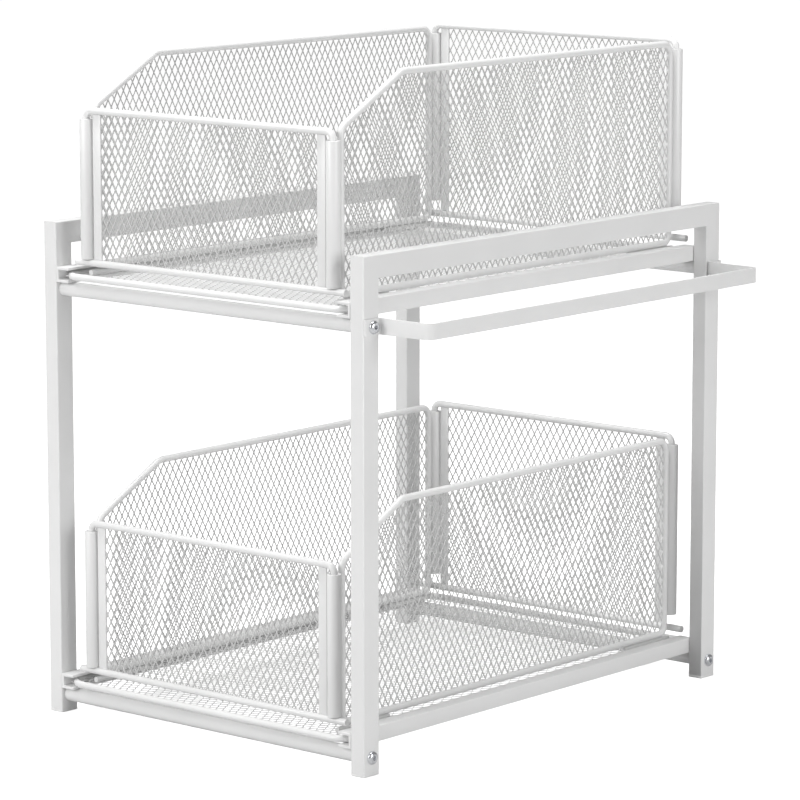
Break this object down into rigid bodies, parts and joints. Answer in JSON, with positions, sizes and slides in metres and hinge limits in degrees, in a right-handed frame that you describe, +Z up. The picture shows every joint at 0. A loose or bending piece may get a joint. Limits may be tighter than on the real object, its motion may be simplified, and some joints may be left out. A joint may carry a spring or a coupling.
{
  "type": "pull-out cabinet basket",
  "caption": "Tiered cabinet organiser with diamond-mesh wire baskets that slide out on channel rails in a tube frame, and a flat side rail for hanging.",
  "frame": {"origin": "on the floor, under the centre of the whole object's box, hanging rail and screw heads included", "axes": "+Z up, +X to the right seen from the front, +Y from the front to the back"},
  "size_m": [0.3486, 0.4, 0.4765],
  "materials": {
    "white_coat": "satin",
    "screw_steel": "polished",
    "foot_plastic": "matte"
  },
  "bodies": {
    "frame": {"back_left_foot": "foot_plastic", "back_right_foot": "foot_plastic", "front_left_foot": "foot_plastic", "front_right_foot": "foot_plastic", "hanging_rail": "white_coat", "hanging_rail_screws": "screw_steel", "left_screws": "screw_steel", "left_side_frame": "white_coat", "lower_back_crossbar": "white_coat", "lower_front_crossbar": "white_coat", "lower_left_rail": "white_coat", "lower_right_rail": "white_coat", "right_screws": "screw_steel", "right_side_frame": "white_coat", "upper_back_crossbar": "white_coat", "upper_front_crossbar": "white_coat", "upper_left_rail": "white_coat", "upper_right_rail": "white_coat"},
    "upper_basket": {"upper_back_left_sleeve": "white_coat", "upper_back_mesh": "white_coat", "upper_back_right_sleeve": "white_coat", "upper_back_sill": "white_coat", "upper_back_strips": "white_coat", "upper_back_top_rod": "white_coat", "upper_floor_mesh": "white_coat", "upper_foot_wires": "white_coat", "upper_front_left_sleeve": "white_coat", "upper_front_mesh": "white_coat", "upper_front_right_sleeve": "white_coat", "upper_front_sill": "white_coat", "upper_front_strips": "white_coat", "upper_front_top_rod": "white_coat", "upper_left_side_hoop": "white_coat", "upper_left_side_mesh": "white_coat", "upper_right_side_hoop": "white_coat", "upper_right_side_mesh": "white_coat", "upper_tray_rim": "white_coat"},
    "lower_basket": {"lower_back_left_sleeve": "white_coat", "lower_back_mesh": "white_coat", "lower_back_right_sleeve": "white_coat", "lower_back_sill": "white_coat", "lower_back_strips": "white_coat", "lower_back_top_rod": "white_coat", "lower_floor_mesh": "white_coat", "lower_foot_wires": "white_coat", "lower_front_left_sleeve": "white_coat", "lower_front_mesh": "white_coat", "lower_front_right_sleeve": "white_coat", "lower_front_sill": "white_coat", "lower_front_strips": "white_coat", "lower_front_top_rod": "white_coat", "lower_left_side_hoop": "white_coat", "lower_left_side_mesh": "white_coat", "lower_right_side_hoop": "white_coat", "lower_right_side_mesh": "white_coat", "lower_tray_rim": "white_coat"}
  },
  "joints": [
    {"name": "upper_basket_slide", "type": "slide", "parent": "frame", "child": "upper_basket", "axis": [0, -1, 0], "range_m": [0, 0.28]},
    {"name": "lower_basket_slide", "type": "slide", "parent": "frame", "child": "lower_basket", "axis": [0, -1, 0], "range_m": [0, 0.28]}
  ]
}
